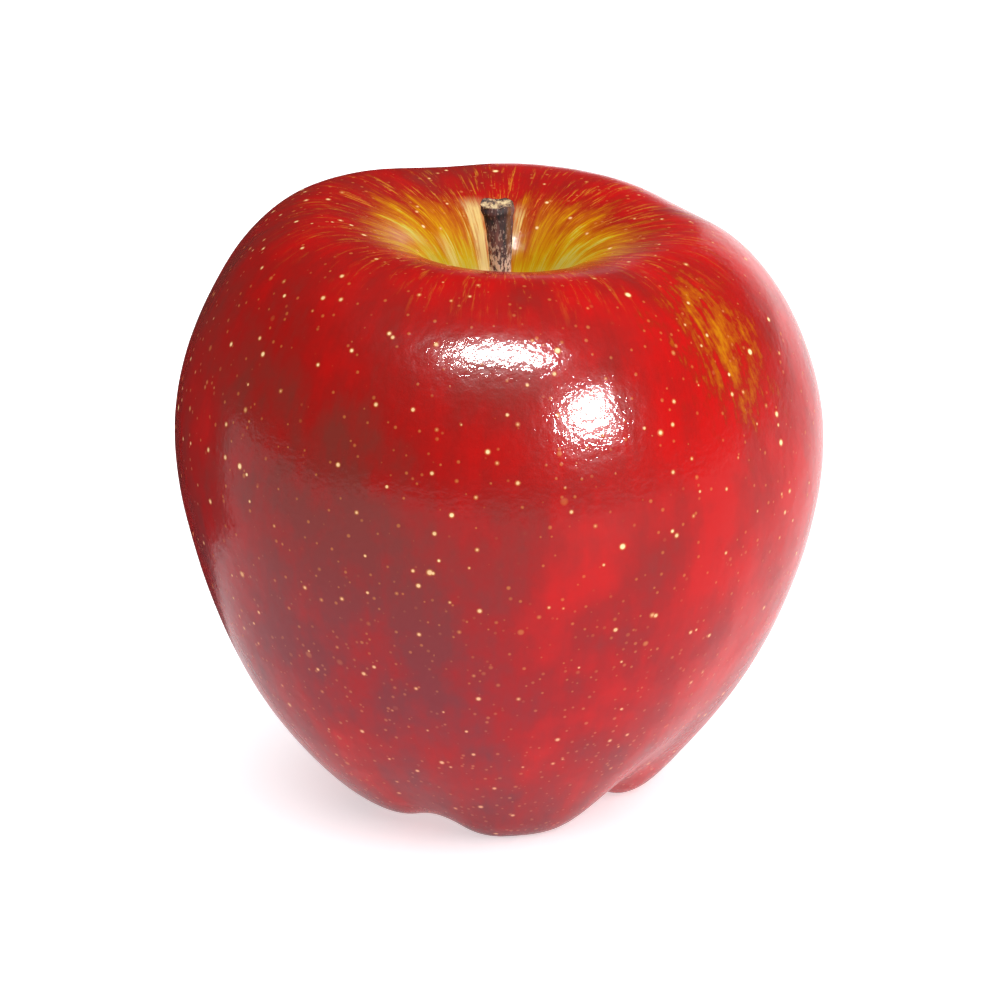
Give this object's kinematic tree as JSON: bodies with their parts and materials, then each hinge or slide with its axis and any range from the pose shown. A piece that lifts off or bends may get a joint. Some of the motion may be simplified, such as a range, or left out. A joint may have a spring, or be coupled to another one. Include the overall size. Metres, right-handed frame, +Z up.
{
  "type": "apple",
  "caption": "Tall lobed dessert apple with glossy dark red skin, a woody stem standing in its cavity and a dried calyx in the basin underneath.",
  "frame": {"origin": "on the surface the apple stands on, under the middle of its bounding box", "axes": "+Z up through the stem; -Y towards the side that shows best, which has the lowest lobe tip a little towards +X; +X to the right seen from that side"},
  "size_m": [0.0756, 0.0758, 0.0725],
  "materials": {
    "skin": "waxed fruit skin: deep saturated red with fine lengthwise mottling, pale yellow dots, and yellow-green streaked with orange in the stem cavity; a clear wax gloss over a softer skin",
    "stem_bark": "dry brown bark with pale flecks, and a rough cream broken end",
    "dried_sepal": "matte, wrinkled, dark brown dried leaf with grey down",
    "dried_stamen": "matte dark brown dried thread"
  },
  "bodies": {
    "root": {"fruit": "skin", "stem": "stem_bark", "sepal_1": "dried_sepal", "sepal_2": "dried_sepal", "sepal_3": "dried_sepal", "sepal_4": "dried_sepal", "sepal_5": "dried_sepal", "stamen_1": "dried_stamen", "stamen_2": "dried_stamen", "stamen_3": "dried_stamen", "stamen_4": "dried_stamen", "stamen_5": "dried_stamen", "stamen_6": "dried_stamen", "stamen_7": "dried_stamen", "stamen_8": "dried_stamen", "stamen_9": "dried_stamen", "stamen_10": "dried_stamen", "stamen_11": "dried_stamen", "stamen_12": "dried_stamen", "stamen_13": "dried_stamen", "stamen_14": "dried_stamen", "stamen_15": "dried_stamen", "styles": "dried_stamen"}
  },
  "joints": []
}
